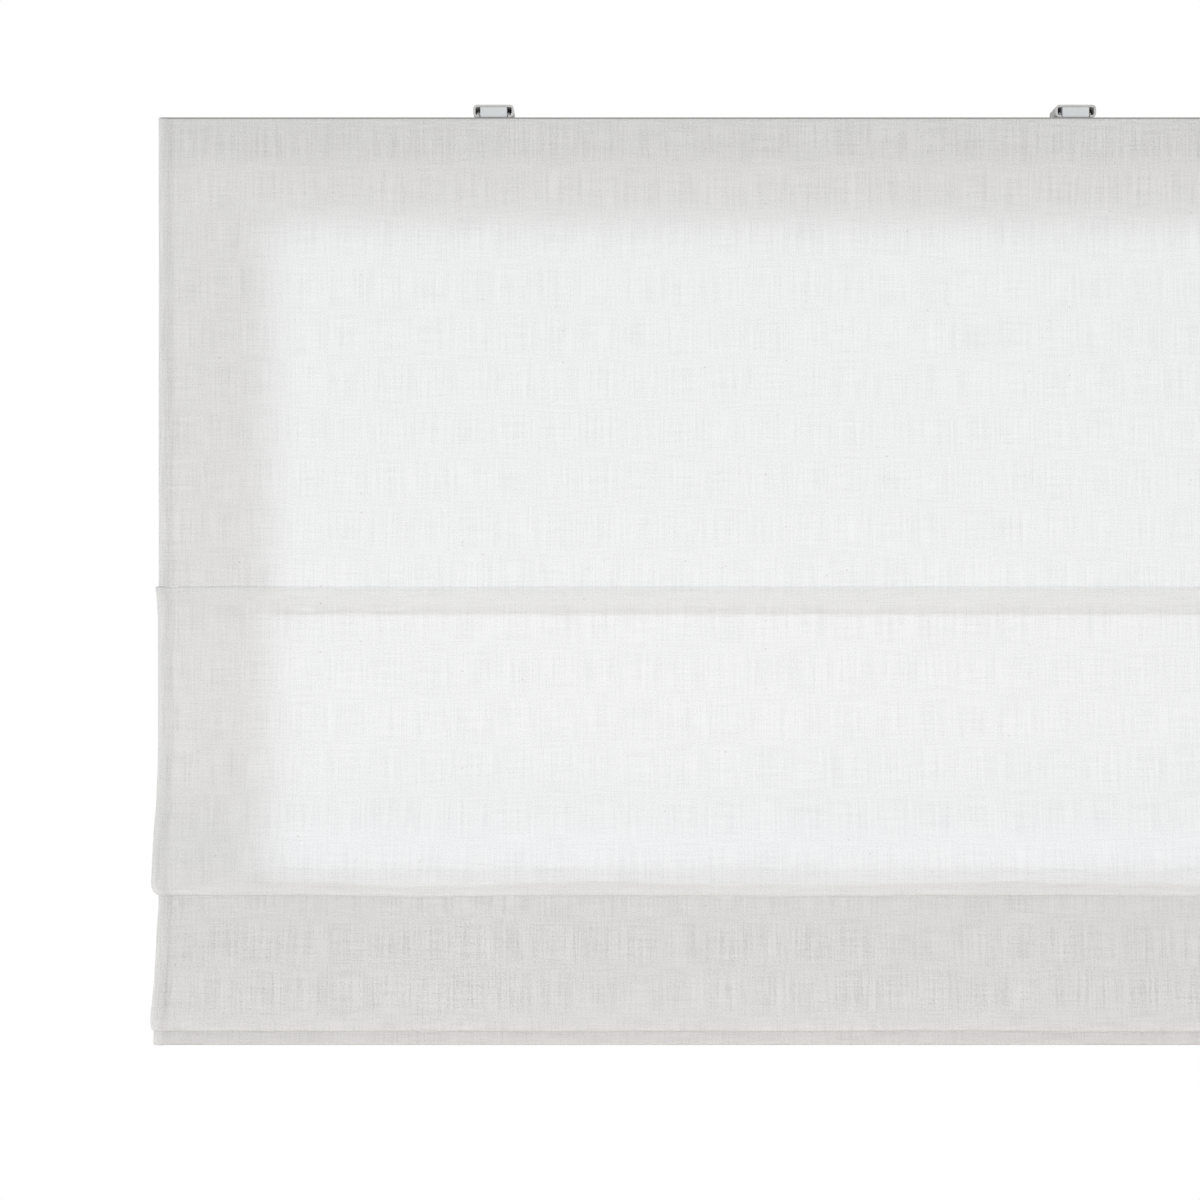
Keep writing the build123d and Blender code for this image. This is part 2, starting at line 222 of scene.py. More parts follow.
def newGroup(name, inputs, outputs):
    group = bpy.data.node_groups.new(name, "ShaderNodeTree")
    for socket, kind, value in inputs:
        made = group.interface.new_socket(socket, in_out="INPUT", socket_type=kind)
        if value is not None:
            made.default_value = value
    for socket, kind in outputs:
        group.interface.new_socket(socket, in_out="OUTPUT", socket_type=kind)
    return group, addNode(group, "NodeGroupInput"), addNode(group, "NodeGroupOutput")


def lightWorld():
    # white to the camera, in reflections and through clear plastic, and dimmer where it only lights
    world = bpy.data.worlds.new("studioWorld")
    world.use_nodes = True
    tree = world.node_tree
    back = tree.nodes["Background"]
    back.inputs["Color"].default_value = (1.0, 1.0, 1.0, 1.0)
    rays = addNode(tree, "ShaderNodeLightPath").outputs
    clear = minus(tree, rays["Is Transmission Ray"], rays["Is Diffuse Ray"])
    seen = mathNode(tree, "MAXIMUM", rays["Is Camera Ray"], rays["Is Glossy Ray"])
    level = addNode(tree, "ShaderNodeMapRange")
    level.inputs["To Min"].default_value = studio["ambient"]
    level.inputs["To Max"].default_value = 1.0
    tree.links.new(mathNode(tree, "MAXIMUM", seen, clear), level.inputs["Value"])
    tree.links.new(level.outputs["Result"], back.inputs["Strength"])
    bpy.context.scene.world = world


# effects shared by several finishes

weave = {                     # noise scales are waves a metre of cloth, across and along
    "pitch": 0.00078,         # from one thread to the next
    "drift": (90.0, 55.0, 1.0),
    "driftReach": 0.0011,
    "crown": 1.4,             # how round a thread's back is
    "under": 0.35,            # how far it sinks where it goes under another
    "grain": {                # scale, detail, roughness and how much each one shades the cloth
        "warpYarn": ((980.0, 26.0, 1.0), 1.0, 0.5, 0.66),
        "weftYarn": ((30.0, 940.0, 1.0), 1.0, 0.5, 0.44),
        "crossings": ((980.0, 900.0, 1.0), 1.0, 0.5, 1.20),
        "warpStreak": ((300.0, 9.0, 1.0), 3.0, 0.6, 0.04),
        "cloud": ((34.0, 21.0, 1.0), 3.0, 0.55, 0.012),
    },
    "warpSlub": ((880.0, 58.0, 3.0), 0.64, 0.76),
    "weftSlub": ((47.0, 930.0, 7.0), 0.63, 0.75),
    # painted shade: the cloth drawn darker down between the threads and lighter on their crowns
    "paintedThreadShade": 0.10,
    "threadMiddle": 0.6,
    "slubShade": 0.055,
    "brightest": 1.16,
    "slubHeight": 0.9,
    "streakHeight": 0.3,
    "fleckScale": 62.0,
    "fleckRare": 0.971,       # flecks only where a cell's random value is above this
    "fleckSize": (0.022, 0.050),
}


def linenWeaveGroup():
    # reads metres of cloth: x across, y along the warp
    group, enter, leave = newGroup(
        "linenWeave",
        [("Cloth", "NodeSocketVector", None)],
        [("Tone", "NodeSocketFloat"), ("Fleck", "NodeSocketFloat"), ("Height", "NodeSocketFloat")])
    cloth = enter.outputs["Cloth"]
    split = addNode(group, "ShaderNodeSeparateXYZ")
    group.links.new(cloth, split.inputs[0])
    drift = stretchedNoise(group, cloth, weave["drift"], 2.0)
    drift = times(group, minus(group, drift, 0.5), weave["driftReach"])
    waves = []
    for axis in "XY":
        turn = mathNode(group, "DIVIDE", plus(group, split.outputs[axis], drift), weave["pitch"])
        waves.append(mathNode(group, "SINE", times(group, turn, math.pi)))
    warp, weft = [mathNode(group, "POWER", mathNode(group, "ABSOLUTE", wave), weave["crown"]) for wave in waves]
    over = times(group, times(group, waves[0], waves[1]), weave["under"])       # which thread is on top
    warpHigh = times(group, warp, plus(group, over, 1 - weave["under"]))
    weftHigh = times(group, weft, minus(group, 1 - weave["under"], over))
    threads = mathNode(group, "MAXIMUM", warpHigh, weftHigh)

    slubs = []
    for name in ("warpSlub", "weftSlub"):
        scale, low, high = weave[name]
        slubs.append(rangeNode(group, stretchedNoise(group, cloth, scale, 1.0), low, high, 0.0, 1.0))
    slubs = mathNode(group, "MAXIMUM", *slubs)

    # painted shade in the weave's hollows, lighter thread crowns
    tone = times(group, minus(group, threads, weave["threadMiddle"]), weave["paintedThreadShade"])
    grain = {}
    for name, (scale, detail, roughness, amount) in weave["grain"].items():
        grain[name] = stretchedNoise(group, cloth, scale, detail, roughness)
        tone = plus(group, tone, times(group, minus(group, grain[name], 0.5), amount))
    tone = minus(group, tone, times(group, slubs, weave["slubShade"]))
    tone = mathNode(group, "MINIMUM", plus(group, tone, 1.0), weave["brightest"])
    group.links.new(tone, leave.inputs["Tone"])

    specks = addNode(group, "ShaderNodeTexVoronoi", voronoi_dimensions="2D")
    specks.inputs["Scale"].default_value = weave["fleckScale"]
    group.links.new(cloth, specks.inputs["Vector"])
    rare = addNode(group, "ShaderNodeSeparateColor")
    group.links.new(specks.outputs["Color"], rare.inputs[0])
    chosen = mathNode(group, "GREATER_THAN", rare.outputs["Red"], weave["fleckRare"])
    spot = rangeNode(group, specks.outputs["Distance"], *weave["fleckSize"], 1.0, 0.0)
    group.links.new(times(group, chosen, spot), leave.inputs["Fleck"])

    height = plus(group, threads, times(group, slubs, weave["slubHeight"]))
    height = plus(group, height, times(group, grain["warpStreak"], weave["streakHeight"]))
    group.links.new(height, leave.inputs["Height"])
    return group


mould = {
    "fine": (2600.0, 2600.0, 2600.0),      # spark-eroded grain
    "slow": (85.0, 85.0, 85.0),            # slight sink marks
    "tone": (0.95, 0.10),
    "sheen": (-0.06, 0.08),
    "slowHeight": 0.8,
    "bump": (0.00004, 0.6),
}


def mouldedGrainGroup():
    group, enter, leave = newGroup(
        "mouldedGrain",
        [("Place", "NodeSocketVector", None), ("Grain", "NodeSocketFloat", 1.0)],
        [("Tone", "NodeSocketFloat"), ("Sheen", "NodeSocketFloat"), ("Height", "NodeSocketFloat")])
    place = enter.outputs["Place"]
    fine = stretchedNoise(group, place, mould["fine"], 2.0)
    slow = stretchedNoise(group, place, mould["slow"], 3.0)
    darkest, reach = mould["tone"]
    group.links.new(plus(group, times(group, slow, reach), darkest), leave.inputs["Tone"])
    group.links.new(rangeNode(group, slow, *usualNoise, *mould["sheen"]), leave.inputs["Sheen"])
    height = times(group, fine, enter.outputs["Grain"])
    group.links.new(plus(group, height, times(group, slow, mould["slowHeight"])), leave.inputs["Height"])
    return group


drawn = {                     # everything runs along x, the drawn or rolled direction
    "lines": (6.0, 2400.0, 2400.0),
    "bands": (2.5, 320.0, 320.0),
    "smudge": (26.0, 60.0, 60.0),
    "darkest": 0.91,
    "lineShade": 0.10,
    "bandShade": 0.08,
    "sheen": (-0.04, 0.07),
    "lineSheen": 0.06,
    "bump": (0.00003, 0.5),
}


def drawnMetalGroup():
    # die lines, with handling smudges
    group, enter, leave = newGroup(
        "drawnMetal",
        [("Place", "NodeSocketVector", None)],
        [("Tone", "NodeSocketFloat"), ("Sheen", "NodeSocketFloat"), ("Height", "NodeSocketFloat")])
    place = enter.outputs["Place"]
    lines = stretchedNoise(group, place, drawn["lines"], 3.0, 0.6)
    bands = stretchedNoise(group, place, drawn["bands"], 2.0)
    smudge = stretchedNoise(group, place, drawn["smudge"], 3.0)
    tone = plus(group, times(group, lines, drawn["lineShade"]), times(group, bands, drawn["bandShade"]))
    group.links.new(plus(group, tone, drawn["darkest"]), leave.inputs["Tone"])
    smudged = rangeNode(group, smudge, 0.35, 0.7, *drawn["sheen"])
    sheen = plus(group, smudged, times(group, lines, drawn["lineSheen"]))
    group.links.new(sheen, leave.inputs["Sheen"])
    group.links.new(plus(group, lines, bands), leave.inputs["Height"])
    return group


def startMaterial(name, **sockets):
    material = bpy.data.materials.new(name)
    material.use_nodes = True
    tree = material.node_tree
    surface = tree.nodes["Principled BSDF"]
    for socket, value in sockets.items():
        surface.inputs[socket.replace("_", " ")].default_value = value
    return material, tree, surface


def bumpInto(tree, surface, height, distance, strength=1.0):      # distance in metres
    bump = addNode(tree, "ShaderNodeBump")
    bump.inputs["Distance"].default_value = distance
    bump.inputs["Strength"].default_value = strength
    tree.links.new(height, bump.inputs["Height"])
    tree.links.new(bump.outputs[0], surface.inputs["Normal"])


def tinted(tree, colour, tone):
    # one colour, made a little lighter and darker by a mask near 1
    scaled = addNode(tree, "ShaderNodeVectorMath", operation="SCALE")
    if isinstance(colour, tuple):
        scaled.inputs[0].default_value = colour
    else:
        tree.links.new(colour, scaled.inputs[0])
    tree.links.new(tone, scaled.inputs["Scale"])
    return scaled.outputs[0]


panel = {                     # metres
    "halfWidth": 0.4989,
    "sideHem": 0.0095,
    "hemTurn": 0.00034,
    "hemPuff": 0.00045,       # how far the side hem rises between its edge and its stitches
    "stitchIn": 0.0083,       # stitch line from the edge
    "hemStitchIn": 0.0055,    # and on the turned-back side
    "firstSeam": -0.3580,
    "gatheredSeams": ((-0.0519, -0.5793), (-0.0483, -0.5833), (-0.0447, -0.5873), (-0.0411, -0.5913)),
    "foldBottom": -0.6019,
    "loopBottom": -0.7091,
    "hemBottom": -0.7223,
    "rowSpacing": 0.0045,
    "edgeReach": 0.045,       # how far in from the side an edge's own shape fades out
    "ripple": 0.0011,
}

linen = {
    "colour": (0.835, 0.838, 0.837),
    "slubColour": (0.58, 0.53, 0.46),
    "through": 0.36,          # share of light that passes into the cloth and out behind
    # painted light: the pockets' linen is drawn paler and lets more light through than the face, so their shade on
    # the backlit face is lighter
    "tuckPaintedLightColour": (0.93, 0.925, 0.915),
    "tuckPaintedLightThrough": 0.71,
    "bump": (0.00016, 0.55),
    "hemShade": 0.090,        # painted shade: darker along the side hem's stitch line
    "hemShadeFrom": (0.0010, 0.0086),      # metres in from the edge
    "hemPaintedShadeTo": (0.0094, 0.0140),
    # painted highlight: the outer few millimetres of each side edge drawn lighter, as lit
    "edgePaintedHighlight": 0.060,
    "edgePaintedHighlightFrom": (0.0036, 0.0006),
}


def linenCloth(name, colour, through):
    material, tree, surface = startMaterial(name, Roughness=0.92, Sheen_Weight=0.12, Sheen_Roughness=0.6,
                                            Specular_IOR_Level=0.18)
    metres = addNode(tree, "ShaderNodeUVMap", uv_map="clothMetres")
    woven = addNode(tree, "ShaderNodeGroup", node_tree=effects["linenWeave"])
    tree.links.new(metres.outputs[0], woven.inputs["Cloth"])
    split = addNode(tree, "ShaderNodeSeparateXYZ")
    tree.links.new(metres.outputs[0], split.inputs[0])
    middle = panel["halfWidth"]
    away = mathNode(tree, "ABSOLUTE", minus(tree, split.outputs["X"], middle))

    def edgeBand(places, start, end):
        near, far = places
        return rangeNode(tree, away, middle - near, middle - far, start, end)

    # painted shade along each side hem's stitch line
    inward = edgeBand(linen["hemShadeFrom"], 0.0, 1.0)
    beyond = edgeBand(linen["hemPaintedShadeTo"], 1.0, 0.0)
    paintedHemShadeMask = times(tree, times(tree, inward, beyond), linen["hemShade"])
    # painted highlight along the outer edge
    paintedEdgeHighlight = edgeBand(linen["edgePaintedHighlightFrom"], 0.0, linen["edgePaintedHighlight"])
    thin = woven.outputs["Tone"]
    tone = plus(tree, minus(tree, thin, paintedHemShadeMask), paintedEdgeHighlight)
    faced = mixColours(tree, woven.outputs["Fleck"], tinted(tree, colour, tone), linen["slubColour"])
    tree.links.new(faced, surface.inputs["Base Color"])
    bumpInto(tree, surface, woven.outputs["Height"], *linen["bump"])
    passed = addNode(tree, "ShaderNodeBsdfTranslucent")      # thin places let more light through
    tree.links.new(tinted(tree, colour, minus(tree, 2.0, thin)), passed.inputs["Color"])
    both = addNode(tree, "ShaderNodeMixShader")
    both.inputs["Fac"].default_value = through
    tree.links.new(surface.outputs[0], both.inputs[1])
    tree.links.new(passed.outputs[0], both.inputs[2])
    tree.links.new(both.outputs[0], tree.nodes["Material Output"].inputs["Surface"])
    return material


thread = {
    "colour": (0.79, 0.775, 0.745),
    "ply": (5200.0, 5200.0, 1500.0),
    "shade": (0.9, 1.06),
    "bump": 0.0001,
}


def sewingThread():
    material, tree, surface = startMaterial("sewingThread", Roughness=0.75, Sheen_Weight=0.2)
    place = objectPlace(tree)
    ply = stretchedNoise(tree, place, thread["ply"], 1.0)
    shade = rangeNode(tree, ply, *usualNoise, *thread["shade"])
    tree.links.new(tinted(tree, thread["colour"], shade), surface.inputs["Base Color"])
    bumpInto(tree, surface, ply, thread["bump"])
    return material


def skinned(tree, surface, place, effect, roughness, bump):
    # joins a shared surface effect to a shader's roughness and normal
    skin = addNode(tree, "ShaderNodeGroup", node_tree=effects[effect])
    tree.links.new(place, skin.inputs["Place"])
    tree.links.new(plus(tree, skin.outputs["Sheen"], roughness), surface.inputs["Roughness"])
    bumpInto(tree, surface, skin.outputs["Height"], *bump)
    return skin


def mouldedPlastic(name, colour, roughness, grain=1.0, **more):
    material, tree, surface = startMaterial(name, **more)
    skin = skinned(tree, surface, objectPlace(tree), "mouldedGrain", roughness, mould["bump"])
    skin.inputs["Grain"].default_value = grain
    tree.links.new(tinted(tree, colour, skin.outputs["Tone"]), surface.inputs["Base Color"])
    return material


def drawnMetal(name, colour, roughness):
    material, tree, surface = startMaterial(name, Metallic=1.0)
    skin = skinned(tree, surface, objectPlace(tree), "drawnMetal", roughness, drawn["bump"])
    tree.links.new(tinted(tree, colour, skin.outputs["Tone"]), surface.inputs["Base Color"])
    return material


railPaint = {
    "paint": (0.77, 0.77, 0.76),
    "topLipColour": (0.38, 0.375, 0.365),
    "topLipFrom": (0.0146, 0.0156),          # heights above which the top lips are drawn darker grey
    "patches": (40.0, 300.0, 300.0),
    "patchReach": 0.0012,
    "roughness": 0.40,
    "bump": (0.00002, 0.4),
}


def paintedRail():
    # pale stoved paint on the drawn channel, drawn darker grey along the top lips
    material, tree, surface = startMaterial("railPaint", Coat_Weight=0.08)
    place = objectPlace(tree)
    skin = skinned(tree, surface, place, "drawnMetal", railPaint["roughness"], railPaint["bump"])
    split = addNode(tree, "ShaderNodeSeparateXYZ")
    tree.links.new(place, split.inputs[0])
    patchy = stretchedNoise(tree, place, railPaint["patches"], 3.0, 0.6)
    height = plus(tree, split.outputs["Z"], times(tree, patchy, railPaint["patchReach"]))
    # darker grey above these heights, with a ragged boundary
    topLip = rangeNode(tree, height, *railPaint["topLipFrom"], 0.0, 1.0)
    shade = mixColours(tree, topLip, railPaint["paint"], railPaint["topLipColour"])
    tree.links.new(tinted(tree, shade, skin.outputs["Tone"]), surface.inputs["Base Color"])
    return material


powder = {
    "colour": (0.495, 0.495, 0.49),
    "peel": (900.0, 900.0, 900.0),         # orange-peel skin
    "slow": (120.0, 120.0, 120.0),
    "shade": (0.93, 1.05),
    "roughness": (0.42, 0.52),
    "bump": (0.00008, 0.45),
}


def powderCoat():
    # grey powder paint, a little uneven in thickness
    material, tree, surface = startMaterial("bracketPowderCoat", Coat_Weight=0.12, Coat_Roughness=0.3)
    place = objectPlace(tree)
    peel = stretchedNoise(tree, place, powder["peel"], 2.0)
    slow = stretchedNoise(tree, place, powder["slow"], 3.0)
    shade = rangeNode(tree, slow, 0.25, 0.75, *powder["shade"])
    tree.links.new(tinted(tree, powder["colour"], shade), surface.inputs["Base Color"])
    tree.links.new(rangeNode(tree, slow, *usualNoise, *powder["roughness"]), surface.inputs["Roughness"])
    bumpInto(tree, surface, peel, *powder["bump"])
    return material


def fasteningTape(name, colour, across, high, depth):
    # rows of hooks, or the looser pile of loops, on a woven ground
    material, tree, surface = startMaterial(name, Roughness=0.85, Sheen_Weight=0.25)
    place = objectPlace(tree)
    spread = addNode(tree, "ShaderNodeMapping")
    spread.inputs["Scale"].default_value = (across, across, high)
    tree.links.new(place, spread.inputs["Vector"])
    pile = addNode(tree, "ShaderNodeTexVoronoi")
    pile.inputs["Scale"].default_value = 1.0
    tree.links.new(spread.outputs[0], pile.inputs["Vector"])
    away = pile.outputs["Distance"]
    # painted shade: lighter on the tops of the hooks or loops, darker down in the ground between them
    tree.links.new(tinted(tree, colour, rangeNode(tree, away, 0.1, 0.8, 1.06, 0.78)), surface.inputs["Base Color"])
    bumpInto(tree, surface, minus(tree, 1.0, away), depth)
    return material


glassFibre = {
    "fibres": (9.0, 5200.0, 5200.0),
    "dark": (0.80, 0.79, 0.72),
    "pale": (0.90, 0.89, 0.84),
    "roughness": (0.34, 0.48),
    "bump": (0.00003, 0.6),
}


def rodGlassFibre():
    # pale pultruded rod: fibres run its length under a resin skin
    material, tree, surface = startMaterial("rodGlassFibre", Coat_Weight=0.35, Coat_Roughness=0.2)
    place = objectPlace(tree)
    fibres = stretchedNoise(tree, place, glassFibre["fibres"], 3.0, 0.65)
    mask = rangeNode(tree, fibres, 0.35, 0.65, 0.0, 1.0)
    tree.links.new(mixColours(tree, mask, glassFibre["dark"], glassFibre["pale"]), surface.inputs["Base Color"])
    tree.links.new(rangeNode(tree, fibres, *usualNoise, *glassFibre["roughness"]), surface.inputs["Roughness"])
    bumpInto(tree, surface, fibres, *glassFibre["bump"])
    return material


def stageFloor():
    material, tree, surface = startMaterial("studioFloor", Roughness=0.85, Specular_IOR_Level=0.2)
    place = objectPlace(tree)
    slow = stretchedNoise(tree, place, (1.3, 1.3, 1.3), 2.0)
    shade = rangeNode(tree, slow, *usualNoise, 0.985, 1.01)
    tree.links.new(tinted(tree, studio["floorColour"], shade), surface.inputs["Base Color"])
    bpy.ops.mesh.primitive_plane_add(size=studio["floorSize"], location=studio["floorPlace"])
    floor = bpy.context.object
    floor.name = "studioFloorPlane"
    floor.data.materials.append(material)


effects = {
    "linenWeave": linenWeaveGroup(),
    "mouldedGrain": mouldedGrainGroup(),
    "drawnMetal": drawnMetalGroup(),
}


# cloth shapes: one continuous panel, made in pieces that meet at its seams and fold bottoms

sideColumns = {               # distances in from the finished edge, on the back and on the face
    "back": (panel["sideHem"], 0.0076, panel["hemStitchIn"], 0.0033),
    "turnSteps": 4,
    "face": (0.0012, 0.0026, 0.0042, 0.0058, 0.0072, panel["stitchIn"], 0.0094, 0.0108, 0.0126, 0.0146, 0.0168,
             0.0192, 0.0220, 0.0260, 0.0310, 0.0370, 0.0440, 0.0520, 0.0610),
    "between": 100,
}


def clothColumns():
    # distance across the flat cloth, from one turned-back raw edge to the other
    turn = math.pi * panel["hemTurn"]
    steps = sideColumns["turnSteps"]
    side = [-place for place in sideColumns["back"]]
    side += [turn * (step / steps - 1) for step in range(steps + 1)]
    side += sideColumns["face"]
    width = 2 * panel["halfWidth"]
    steps = sideColumns["between"]
    inner = [side[-1] + (width - 2 * side[-1]) * i / steps for i in range(1, steps)]
    return side + inner + [width - place for place in reversed(side)]


def smoothRoute(points, spacing=panel["rowSpacing"]):
    # (y, z) points with the length along the curve, eased through every given point
    route = []
    ends = [points[0], *points, points[-1]]
    for before, start, end, after in zip(ends, ends[1:], ends[2:], ends[3:]):
        start, end = Vector(start), Vector(end)
        reach = (end - start).length
        leave = (end - Vector(before)).normalized() * reach / 3
        arrive = (Vector(after) - start).normalized() * reach / 3
        count = max(2, math.ceil(reach / spacing))
        samples = geometry.interpolate_bezier(start.to_3d(), (start + leave).to_3d(),
                                              (end - arrive).to_3d(), end.to_3d(), count + 1)
        route += [Vector((place.x, place.y)) for place in samples[bool(route):]]
    rows = []
    along = 0.0
    for index, place in enumerate(route):
        if index:
            along += (place - route[index - 1]).length
        slope = route[min(index + 1, len(route) - 1)] - route[max(index - 1, 0)]
        slope.normalize()
        rows.append((place, Vector((slope.y, -slope.x)), along))      # place, front side, length
    return rows


def eased(value, table):
    # reads a table of (place, amount), smoothly between its entries
    if value >= table[0][0]:
        return table[0][1]
    for (high, first), (low, second) in zip(table, table[1:]):
        if value >= low:
            part = (high - value) / (high - low)
            part = part * part * (3 - 2 * part)
            return first + (second - first) * part
    return table[-1][1]


def makeSheet(name, rows, columns, material, start=0.0, outset=(), push=None, skip=None):
    # a grid of cloth: its rows follow the route and its columns go across, round the turned side hems
    sheet = bmesh.new()
    bmesh.ops.create_grid(sheet, x_segments=len(columns) - 1, y_segments=len(rows) - 1, size=1.0)
    metres = sheet.loops.layers.uv.new("clothMetres")
    width = 2 * panel["halfWidth"]
    turn = panel["hemTurn"]
    flat = {}
    for point in sheet.verts:
        across = columns[round((point.co.x + 1) / 2 * (len(columns) - 1))]
        place, front, along = rows[round((1 - point.co.y) / 2 * (len(rows) - 1))]
        edge = min(across, width - across)
        side = -1 if across < width / 2 else 1
        out, behind = 0.0, 0.0
        if edge < 0:                                  # the side hem, turned back behind the cloth
            angle = min(-edge / turn, math.pi)
            out = turn * math.sin(angle) - max(-edge - math.pi * turn, 0.0)
            behind = turn * (1 - math.cos(angle))
            edge = 0.0
        fade = max(0.0, 1 - edge / panel["edgeReach"]) ** 2
        x = side * (panel["halfWidth"] - max(min(across, width - across), 0.0) + out)
        x += side * fade * (eased(place.y, outset) if outset else 0.0)
        height = -behind
        if edge < panel["stitchIn"]:
            height += panel["hemPuff"] * math.sin(math.pi * edge / panel["stitchIn"])
        length = start + along
        height += push(across, edge, length, place.y) if push else 0.0
        point.co = (x, place.x + front.x * height, place.y + front.y * height)
        flat[point] = (across, -length)
    for face in sheet.faces:
        face.smooth = True
        for corner in face.loops:
            corner[metres].uv = flat[corner.vert]
    if skip:
        cut = [face for face in sheet.faces if skip(face.calc_center_median())]
        bmesh.ops.delete(sheet, geom=cut, context="FACES")
    sheet.normal_update()
    return finished(name, sheet, material)


def finished(name, mesh, material):
    data = bpy.data.meshes.new(name)
    mesh.to_mesh(data)
    mesh.free()
    data.materials.append(material)
    piece = bpy.data.objects.new(name, data)
    bpy.context.scene.collection.objects.link(piece)
    return piece


unevenness = {                # noise scales across and along, the third number picks another pattern
    "broad": (9.0, 6.0, 1.7),
    "fine": (23.0, 9.0, 8.3),
    "fineShare": 0.5,
    "seamReach": 0.05,
}


def ripple(across, length, near, far, amount):
    # slow unevenness, stilled near the stitched seams at near and far
    quiet = 1.0
    for distance in (length - near, far - length):
        quiet *= min(1.0, max(0.0, distance) / unevenness["seamReach"])
    broad, fine = [noise.noise(Vector((across * wide, length * high, pattern)))
                   for wide, high, pattern in (unevenness["broad"], unevenness["fine"])]
    return amount * (broad + unevenness["fineShare"] * fine) * quiet


def hollow(edge, z, dent):
    # a soft dent centred at (distance from the edge, height)
    place, size, depth = dent
    away = math.hypot((edge - place[0]) / size[0], (z - place[1]) / size[1])
    return -depth * math.exp(-away ** 2) if away < 3 else 0.0      # nothing is left of it further out


# stitching: small thread bits on both faces of the side hems and along the bottom hem

stitch = {
    "length": 0.0030,
    "step": 0.0039,
    "thick": 0.00048,
    "lift": 0.00012,          # thread's middle above the cloth
}


def addStitch(mesh, middle, along, outward, length):
    turned = Matrix((along.cross(outward), outward, along)).transposed().to_4x4()
    sized = Matrix.Diagonal((stitch["thick"] / 2, stitch["thick"] / 2, length / 2, 1.0))
    bmesh.ops.create_icosphere(mesh, subdivisions=1, radius=1.0, matrix=Matrix.Translation(middle) @ turned @ sized)


def finishedStitching(name, mesh):
    for face in mesh.faces:
        face.smooth = True
    return finished(name, mesh, finish["thread"])


def sideStitching(name, sheet, rows, columns):
    # follows the finished cloth: reads the two stitch columns back from its mesh
    face, back = columns.index(panel["stitchIn"]), columns.index(-panel["hemStitchIn"])
    last = len(columns) - 1
    mesh = bmesh.new()
    points = sheet.data.vertices
    for column, hemColumn in ((face, back), (last - face, last - back)):
        starts = [row * len(columns) for row in reversed(range(len(rows)))]      # grid rows run upwards
        path = [points[first + column].co.copy() for first in starts]
        hem = [points[first + hemColumn].co.copy() for first in starts]
        travelled, due = 0.0, stitch["step"] / 2
        for index in range(len(path) - 1):
            start, end = path[index], path[index + 1]
            reach = (end - start).length
            while due <= travelled + reach:
                part = (due - travelled) / reach
                along = (end - start).normalized()
                outward = Vector((1, 0, 0)).cross(along).normalized()
                if outward.dot(Vector((0, *rows[index][1]))) < 0:
                    outward = -outward
                middle = start.lerp(end, part)
                rear = hem[index].lerp(hem[index + 1], part)
                rear.x = middle.x
                addStitch(mesh, middle + outward * stitch["lift"], along, outward, stitch["length"])
                addStitch(mesh, rear - outward * stitch["lift"], along, outward, stitch["length"])
                due += stitch["step"]
            travelled += reach
    return finishedStitching(name, mesh)


finish = {
    "linen": linenCloth("linenCloth", linen["colour"], linen["through"]),
    # a paler, more see-through copy of the linen: painted light in the pockets' shade
    "tuckLinen": linenCloth("tuckLinen", linen["tuckPaintedLightColour"], linen["tuckPaintedLightThrough"]),
    "thread": sewingThread(),
    "bracket": powderCoat(),
    "latch": mouldedPlastic("latchPlastic", (0.585, 0.603, 0.617), 0.38, 0.6, Coat_Weight=0.1),
    "whitePlastic": mouldedPlastic("whitePlastic", (0.80, 0.80, 0.785), 0.42),
    "guidePlastic": mouldedPlastic("guidePlastic", (0.76, 0.765, 0.76), 0.33, 0.4, Subsurface_Weight=0.1,
                                   Subsurface_Scale=0.002),
    "gearPlastic": mouldedPlastic("gearPlastic", (0.60, 0.61, 0.60), 0.45),
    "drumPlastic": mouldedPlastic("drumPlastic", (0.70, 0.69, 0.66), 0.40, 0.7),
    "rail": paintedRail(),
    "bar": drawnMetal("barAluminium", (0.66, 0.66, 0.655), 0.34),
    "shaft": drawnMetal("shaftSteel", (0.56, 0.56, 0.57), 0.30),
    "spring": drawnMetal("springSteel", (0.50, 0.51, 0.53), 0.24),
    "hookTape": fasteningTape("hookTape", (0.80, 0.80, 0.795), 900.0, 620.0, 0.0006),
    "loopTape": fasteningTape("loopTape", (0.84, 0.84, 0.835), 1500.0, 1300.0, 0.0004),
    "rod": rodGlassFibre(),
}

finishOfNode = {
    "bracket_left": "bracket", "bracket_right": "bracket",
    "bracket_latch_left": "latch", "bracket_latch_right": "latch",
    "latch_spring_left": "spring", "latch_spring_right": "spring",
    "headrail": "rail", "end_cap_left": "whitePlastic", "end_cap_right": "whitePlastic",
    "cord_outlet_left": "whitePlastic", "cord_outlet_right": "whitePlastic",
    "rail_hook_tape": "hookTape", "fabric_loop_tape": "loopTape",
    "drive_shaft": "shaft", "cord_spool_left": "drumPlastic", "cord_spool_right": "drumPlastic",
    "spool_cradle_left": "gearPlastic", "spool_cradle_right": "gearPlastic",
    "spring_output_drum": "drumPlastic", "spring_storage_drum": "drumPlastic",
    "spring_housing": "gearPlastic", "flat_spring": "spring",
    "bottom_bar": "bar", "bottom_bar_cap_left": "guidePlastic", "bottom_bar_cap_right": "guidePlastic",
}
for number in range(1, 6):
    finishOfNode[f"rod_{number}"] = "rod"
    finishOfNode[f"rod_{number}_cord_guides"] = "guidePlastic"

for node, name in finishOfNode.items():
    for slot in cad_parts[node].material_slots:
        slot.material = finish[name]
print("roman blind: hardware finished")

columns = clothColumns()
seams = panel["gatheredSeams"]
cordPlace = 0.382             # the lift cords' distance from the middle


def clothPiece(name, rows, start, join, held, outset, push):
    # one run of the panel with its side stitching, tied to one body, or left unparented where it is when it spans
    # two
    sheet = makeSheet(name, rows, columns, finish["linen"], start, outset, push)
    for piece in (sheet, sideStitching(name + "Stitching", sheet, rows, columns)):
        if len(join) == 1:
            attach(piece, join[0])
        else:
            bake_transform(piece)
        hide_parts("fabric")
    length = rows[-1][2]
    return start + length


